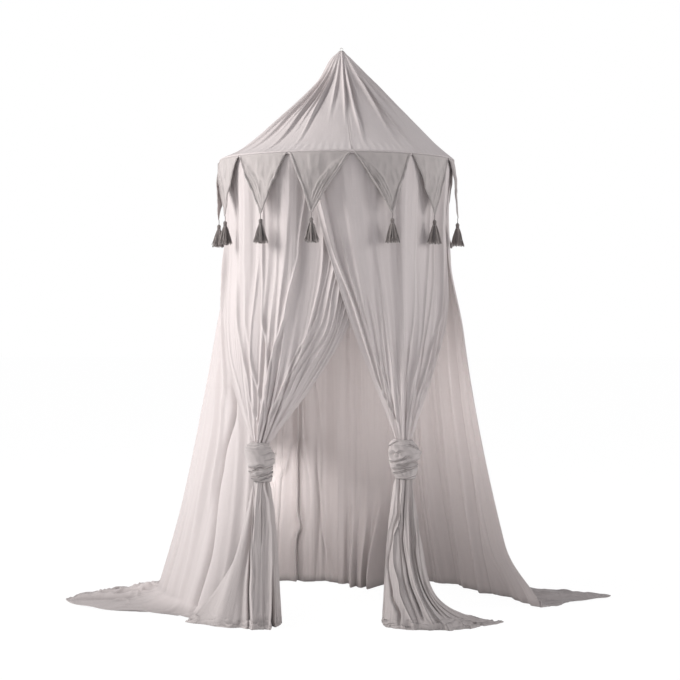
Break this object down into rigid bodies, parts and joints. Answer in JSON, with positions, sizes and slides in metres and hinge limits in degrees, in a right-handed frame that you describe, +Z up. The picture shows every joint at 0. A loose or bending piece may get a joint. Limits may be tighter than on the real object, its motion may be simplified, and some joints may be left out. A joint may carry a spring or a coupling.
{
  "type": "crib canopy",
  "caption": "Hanging cloth canopy for a crib: pointed roof on a hoop, pennants with tassels, crossed front curtains tied in knots, walls with trains on the floor.",
  "frame": {"origin": "the point inside the top of the hanging loop that bears on the hook", "axes": "+Z up, the doorway faces -Y, +X to the right of someone who looks in at it"},
  "size_m": [2.1739, 1.1976, 2.1822],
  "materials": {
    "canopy_cloth": "matte",
    "roof_cloth": "matte",
    "pennant_cloth": "matte",
    "tassel_yarn": "matte",
    "cotton_tape": "matte",
    "hoop_rod": "satin",
    "ferrule_steel": "satin",
    "beech_wood": "satin"
  },
  "bodies": {
    "canopy": {"hanging_loop": "cotton_tape", "apex_washer": "beech_wood", "apex_toggle": "beech_wood", "roof_gore_right": "roof_cloth", "roof_gore_back": "roof_cloth", "roof_gore_left": "roof_cloth", "roof_gore_front": "roof_cloth", "seam_tape_right": "cotton_tape", "seam_tape_back": "cotton_tape", "seam_tape_left": "cotton_tape", "seam_tape_front": "cotton_tape", "hoop_rod_1": "hoop_rod", "hoop_rod_2": "hoop_rod", "hoop_rod_3": "hoop_rod", "hoop_rod_4": "hoop_rod", "hoop_ferrule_1": "ferrule_steel", "hoop_ferrule_2": "ferrule_steel", "hoop_ferrule_3": "ferrule_steel", "hoop_ferrule_4": "ferrule_steel", "hoop_casing": "canopy_cloth", "wall_back_left": "canopy_cloth", "wall_left": "canopy_cloth", "wall_right": "canopy_cloth", "wall_back_right": "canopy_cloth", "curtain_left": "canopy_cloth", "curtain_right": "canopy_cloth"},
    "pennant_01": {"pennant_01": "pennant_cloth"},
    "tassel_01": {"tassel_01": "tassel_yarn"},
    "pennant_02": {"pennant_02": "pennant_cloth"},
    "tassel_02": {"tassel_02": "tassel_yarn"},
    "pennant_03": {"pennant_03": "pennant_cloth"},
    "tassel_03": {"tassel_03": "tassel_yarn"},
    "pennant_04": {"pennant_04": "pennant_cloth"},
    "tassel_04": {"tassel_04": "tassel_yarn"},
    "pennant_05": {"pennant_05": "pennant_cloth"},
    "tassel_05": {"tassel_05": "tassel_yarn"},
    "pennant_06": {"pennant_06": "pennant_cloth"},
    "tassel_06": {"tassel_06": "tassel_yarn"},
    "pennant_07": {"pennant_07": "pennant_cloth"},
    "tassel_07": {"tassel_07": "tassel_yarn"},
    "pennant_08": {"pennant_08": "pennant_cloth"},
    "tassel_08": {"tassel_08": "tassel_yarn"},
    "pennant_09": {"pennant_09": "pennant_cloth"},
    "tassel_09": {"tassel_09": "tassel_yarn"},
    "pennant_10": {"pennant_10": "pennant_cloth"},
    "tassel_10": {"tassel_10": "tassel_yarn"},
    "pennant_11": {"pennant_11": "pennant_cloth"},
    "tassel_11": {"tassel_11": "tassel_yarn"},
    "pennant_12": {"pennant_12": "pennant_cloth"},
    "tassel_12": {"tassel_12": "tassel_yarn"},
    "tie_left": {"knot_left": "canopy_cloth", "tail_left": "canopy_cloth"},
    "tie_right": {"knot_right": "canopy_cloth", "tail_right": "canopy_cloth"}
  },
  "joints": [
    {"name": "pennant_01_flap", "type": "hinge", "parent": "canopy", "child": "pennant_01", "pos_m": [0.15391, -0.42451, -0.444], "axis": [-0.9272, -0.3746, 0], "range_deg": [0, 90]},
    {"name": "tassel_01_swing", "type": "hinge", "parent": "pennant_01", "child": "tassel_01", "pos_m": [0.17918, -0.42832, -0.6678], "axis": [-0.9272, -0.3746, 0], "range_deg": [0, 80]},
    {"name": "pennant_02_flap", "type": "hinge", "parent": "canopy", "child": "pennant_02", "pos_m": [0.34319, -0.28188, -0.444], "axis": [-0.6157, -0.788, 0], "range_deg": [0, 90]},
    {"name": "tassel_02_swing", "type": "hinge", "parent": "pennant_02", "child": "tassel_02", "pos_m": [0.34728, -0.29776, -0.6678], "axis": [-0.6157, -0.788, 0], "range_deg": [0, 80]},
    {"name": "pennant_03_flap", "type": "hinge", "parent": "canopy", "child": "pennant_03", "pos_m": [0.43579, -0.06372, -0.444], "axis": [-0.1392, -0.9903, 0], "range_deg": [0, 90]},
    {"name": "tassel_03_swing", "type": "hinge", "parent": "pennant_03", "child": "tassel_03", "pos_m": [0.45006, -0.05563, -0.6678], "axis": [-0.1392, -0.9903, 0], "range_deg": [0, 80]},
    {"name": "pennant_04_flap", "type": "hinge", "parent": "canopy", "child": "pennant_04", "pos_m": [0.40691, 0.17151, -0.444], "axis": [0.3746, -0.9272, 0], "range_deg": [0, 90]},
    {"name": "tassel_04_swing", "type": "hinge", "parent": "pennant_04", "child": "tassel_04", "pos_m": [0.41896, 0.17638, -0.6678], "axis": [0.3746, -0.9272, 0], "range_deg": [0, 80]},
    {"name": "pennant_05_flap", "type": "hinge", "parent": "canopy", "child": "pennant_05", "pos_m": [0.26428, 0.36079, -0.444], "axis": [0.788, -0.6157, 0], "range_deg": [0, 90]},
    {"name": "tassel_05_swing", "type": "hinge", "parent": "pennant_05", "child": "tassel_05", "pos_m": [0.28174, 0.36365, -0.6678], "axis": [0.788, -0.6157, 0], "range_deg": [0, 80]},
    {"name": "pennant_06_flap", "type": "hinge", "parent": "canopy", "child": "pennant_06", "pos_m": [0.04612, 0.45339, -0.444], "axis": [0.9903, -0.1392, 0], "range_deg": [0, 90]},
    {"name": "tassel_06_swing", "type": "hinge", "parent": "pennant_06", "child": "tassel_06", "pos_m": [0.04001, 0.46738, -0.6678], "axis": [0.9903, -0.1392, 0], "range_deg": [0, 80]},
    {"name": "pennant_07_flap", "type": "hinge", "parent": "canopy", "child": "pennant_07", "pos_m": [-0.18911, 0.42451, -0.444], "axis": [0.9272, 0.3746, 0], "range_deg": [0, 90]},
    {"name": "tassel_07_swing", "type": "hinge", "parent": "pennant_07", "child": "tassel_07", "pos_m": [-0.18842, 0.43881, -0.6678], "axis": [0.9272, 0.3746, 0], "range_deg": [0, 80]},
    {"name": "pennant_08_flap", "type": "hinge", "parent": "canopy", "child": "pennant_08", "pos_m": [-0.37839, 0.28188, -0.444], "axis": [0.6157, 0.788, 0], "range_deg": [0, 90]},
    {"name": "tassel_08_swing", "type": "hinge", "parent": "pennant_08", "child": "tassel_08", "pos_m": [-0.39479, 0.282, -0.6678], "axis": [0.6157, 0.788, 0], "range_deg": [0, 80]},
    {"name": "pennant_09_flap", "type": "hinge", "parent": "canopy", "child": "pennant_09", "pos_m": [-0.47099, 0.06372, -0.444], "axis": [0.1392, 0.9903, 0], "range_deg": [0, 90]},
    {"name": "tassel_09_swing", "type": "hinge", "parent": "pennant_09", "child": "tassel_09", "pos_m": [-0.48442, 0.06157, -0.6678], "axis": [0.1392, 0.9903, 0], "range_deg": [0, 80]},
    {"name": "pennant_10_flap", "type": "hinge", "parent": "canopy", "child": "pennant_10", "pos_m": [-0.44211, -0.17151, -0.444], "axis": [-0.3746, 0.9272, 0], "range_deg": [0, 90]},
    {"name": "tassel_10_swing", "type": "hinge", "parent": "pennant_10", "child": "tassel_10", "pos_m": [-0.44667, -0.19493, -0.6678], "axis": [-0.3746, 0.9272, 0], "range_deg": [0, 80]},
    {"name": "pennant_11_flap", "type": "hinge", "parent": "canopy", "child": "pennant_11", "pos_m": [-0.29948, -0.36079, -0.444], "axis": [-0.788, 0.6157, 0], "range_deg": [0, 90]},
    {"name": "tassel_11_swing", "type": "hinge", "parent": "pennant_11", "child": "tassel_11", "pos_m": [-0.2996, -0.37719, -0.6678], "axis": [-0.788, 0.6157, 0], "range_deg": [0, 80]},
    {"name": "pennant_12_flap", "type": "hinge", "parent": "canopy", "child": "pennant_12", "pos_m": [-0.08132, -0.45339, -0.444], "axis": [-0.9903, 0.1392, 0], "range_deg": [0, 90]},
    {"name": "tassel_12_swing", "type": "hinge", "parent": "pennant_12", "child": "tassel_12", "pos_m": [-0.11036, -0.46244, -0.6678], "axis": [-0.9903, 0.1392, 0], "range_deg": [0, 80]},
    {"name": "tie_left_swing", "type": "hinge", "parent": "canopy", "child": "tie_left", "pos_m": [-0.29561, -0.41998, -1.55], "axis": [-1, 0, 0], "range_deg": [-3, 25]},
    {"name": "tie_right_swing", "type": "hinge", "parent": "canopy", "child": "tie_right", "pos_m": [0.22738, -0.41998, -1.54], "axis": [-1, 0, 0], "range_deg": [-3, 25]}
  ]
}
